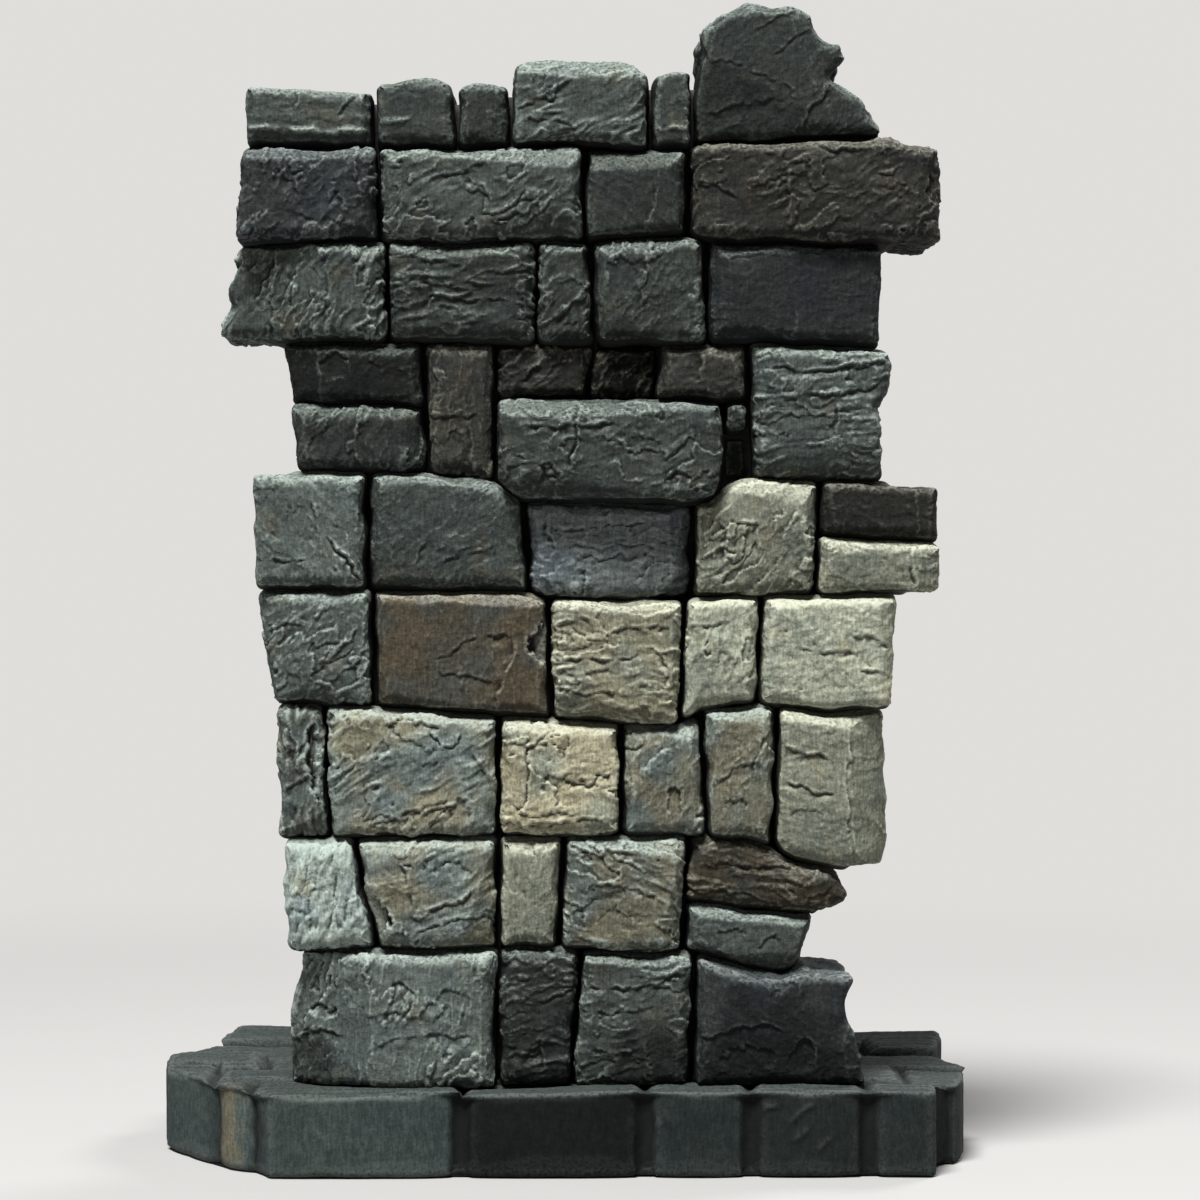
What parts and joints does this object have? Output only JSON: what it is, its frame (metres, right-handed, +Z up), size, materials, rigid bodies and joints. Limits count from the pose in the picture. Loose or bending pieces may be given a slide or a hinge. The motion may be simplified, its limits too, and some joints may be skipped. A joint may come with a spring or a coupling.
{
  "type": "miniature terrain ruin",
  "caption": "Free-standing fragment of a ruined wall in rough coursed stones with ragged ends and a broken cap rock, set on an irregular flagstone base.",
  "frame": {"origin": "middle of the base's footprint, on the surface that it stands on", "axes": "+X along the wall to the viewer's right, +Y from the front of the wall to its back, +Z up"},
  "size_m": [0.133, 0.085, 0.1836],
  "materials": {
    "slate_grey": "rough cast stone, dark wash and dry-brushed edges",
    "slate_blue": "rough cast stone with a blue tint",
    "slate_brown": "rough cast stone with a brown tint",
    "slate_tan": "rough cast stone with a pale warm tint",
    "mortar": "dark sandy jointing",
    "flagstone": "smoother cast stone with worn pale arrises",
    "steel_pin": "plain ground pin"
  },
  "bodies": {
    "root": {"flagstone_base": "flagstone", "mortar_core": "mortar", "anchor_dowel_left": "steel_pin", "anchor_dowel_right": "steel_pin", "course1_left_end": "slate_grey", "course1_narrow": "slate_grey", "course1_middle": "slate_grey", "course1_right_end": "slate_blue", "course2_left_end": "slate_grey", "course2_left": "slate_grey", "course2_narrow": "slate_tan", "course2_middle": "slate_grey", "course2_right_lower": "slate_grey", "course2_right_upper": "slate_brown", "course3_left_end": "slate_grey", "course3_left": "slate_grey", "course3_middle": "slate_tan", "course3_right_middle": "slate_grey", "course3_right": "slate_grey", "course3_right_end": "slate_tan", "course4_left_end": "slate_grey", "course4_left": "slate_brown", "course4_middle": "slate_tan", "course4_narrow": "slate_tan", "course4_right_end": "slate_tan", "course5_left_end": "slate_grey", "course5_left": "slate_grey", "course5_middle": "slate_blue", "course5_right": "slate_tan", "course5_right_lower": "slate_tan", "course5_right_upper": "slate_brown", "course6_left_lower": "slate_grey", "course6_left_upper": "slate_grey", "course6_upright": "slate_brown", "proud_block": "slate_grey", "chink_stone": "slate_grey", "filler_stone": "slate_grey", "course6_over_left": "slate_brown", "course6_over_middle": "slate_brown", "course6_over_right": "slate_brown", "course6_right_end": "slate_grey", "course7_left_end": "slate_grey", "course7_left": "slate_grey", "course7_narrow": "slate_grey", "course7_middle": "slate_grey", "course7_right_end": "slate_blue", "course8_left_end": "slate_blue", "course8_left": "slate_grey", "course8_middle": "slate_grey", "course8_right_end": "slate_brown", "course9_left_end": "slate_grey", "course9_left": "slate_grey", "course9_narrow": "slate_grey", "course9_middle": "slate_grey", "course9_right": "slate_grey", "cap_rock": "slate_grey"}
  },
  "joints": []
}
